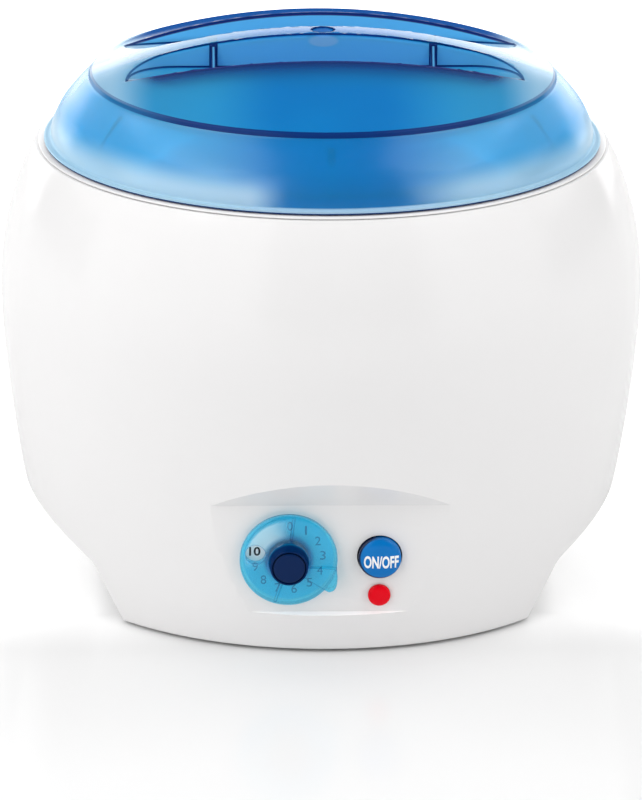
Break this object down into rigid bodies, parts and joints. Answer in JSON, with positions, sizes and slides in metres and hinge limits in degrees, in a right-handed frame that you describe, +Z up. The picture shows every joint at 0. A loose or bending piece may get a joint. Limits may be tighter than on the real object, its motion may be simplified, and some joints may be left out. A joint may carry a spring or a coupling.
{
  "type": "wax warmer",
  "caption": "Round white wax warmer with a translucent blue domed lid, side coves, a thermostat knob, a push button and a pilot lamp, and a lift-out aluminium pot.",
  "frame": {"origin": "on the surface the feet stand on, under the axis of the round body", "axes": "+Z is up along the body's axis, -Y is the front with the control panel, +X is the right side seen from the front"},
  "size_m": [0.2, 0.2, 0.1743],
  "materials": {
    "shell_white": "gloss",
    "base_white": "satin",
    "lid_blue": "gloss",
    "knob_blue": "gloss",
    "cap_navy": "satin",
    "button_blue": "gloss",
    "lamp_red": "gloss",
    "dial_white": "satin",
    "rubber_grey": "matte",
    "silicone": "matte",
    "aluminium": "satin",
    "steel": "brushed",
    "copper": "satin",
    "felt": "matte",
    "phenolic": "matte",
    "ceramic": "matte",
    "lead_brown": "satin",
    "lead_blue": "satin"
  },
  "bodies": {
    "warmer": {"housing": "shell_white", "base_plate": "base_white", "base_screw_1": "steel", "base_screw_2": "steel", "base_screw_3": "steel", "base_screw_4": "steel", "foot_1": "rubber_grey", "foot_2": "rubber_grey", "foot_3": "rubber_grey", "foot_4": "rubber_grey", "terminal_block": "phenolic", "cord_inlet": "rubber_grey", "top_collar": "shell_white", "well_gasket": "silicone", "heating_well": "aluminium", "band_heater": "steel", "insulation_sleeve": "felt", "heat_shield": "steel", "well_pillar_1": "steel", "well_pillar_2": "steel", "well_pillar_3": "steel", "thermostat_bulb": "copper", "bulb_clip": "steel", "thermal_fuse": "ceramic", "fuse_clip": "steel", "capillary": "copper", "dial_plate": "dial_white", "thermostat_body": "phenolic", "thermostat_screw_left": "steel", "thermostat_screw_right": "steel", "switch_body": "phenolic", "switch_spring": "steel", "lamp_lens": "lamp_red", "lamp_ring": "steel", "lamp_body": "ceramic", "lead_supply": "lead_brown", "lead_switched": "lead_brown", "lead_heater": "lead_brown", "lead_return": "lead_blue", "lead_lamp": "lead_blue"},
    "lid": {"lid": "lid_blue"},
    "pot": {"wax_pot": "aluminium"},
    "bail": {"bail_handle": "steel"},
    "knob": {"knob": "knob_blue", "knob_cap": "cap_navy", "knob_clip": "steel", "thermostat_shaft": "steel"},
    "button": {"button_cap": "button_blue", "switch_plunger": "base_white"}
  },
  "joints": [
    {"name": "lid_lift", "type": "slide", "parent": "warmer", "child": "lid", "axis": [0, 0, 1], "range_m": [0, 0.22]},
    {"name": "pot_lift", "type": "slide", "parent": "warmer", "child": "pot", "axis": [0, 0, 1], "range_m": [0, 0.11]},
    {"name": "bail_swing", "type": "hinge", "parent": "pot", "child": "bail", "pos_m": [0, 0, 0.1436], "axis": [-1, 0, 0], "range_deg": [0, 85]},
    {"name": "knob_turn", "type": "hinge", "parent": "warmer", "child": "knob", "pos_m": [-0.0127, -0.08687, 0.0317], "axis": [0, -0.9954, -0.0958], "range_deg": [0, 280]},
    {"name": "power_press", "type": "slide", "parent": "warmer", "child": "button", "axis": [0, 0.9954, 0.0958], "range_m": [0, 0.003], "stiffness_N_per_m": 400}
  ],
  "couplings": [
    {"joint": "pot_lift", "follows": "lid_lift", "ratio": 0.5},
    {"joint": "bail_swing", "follows": "lid_lift", "rad_per_m": 6.7}
  ]
}
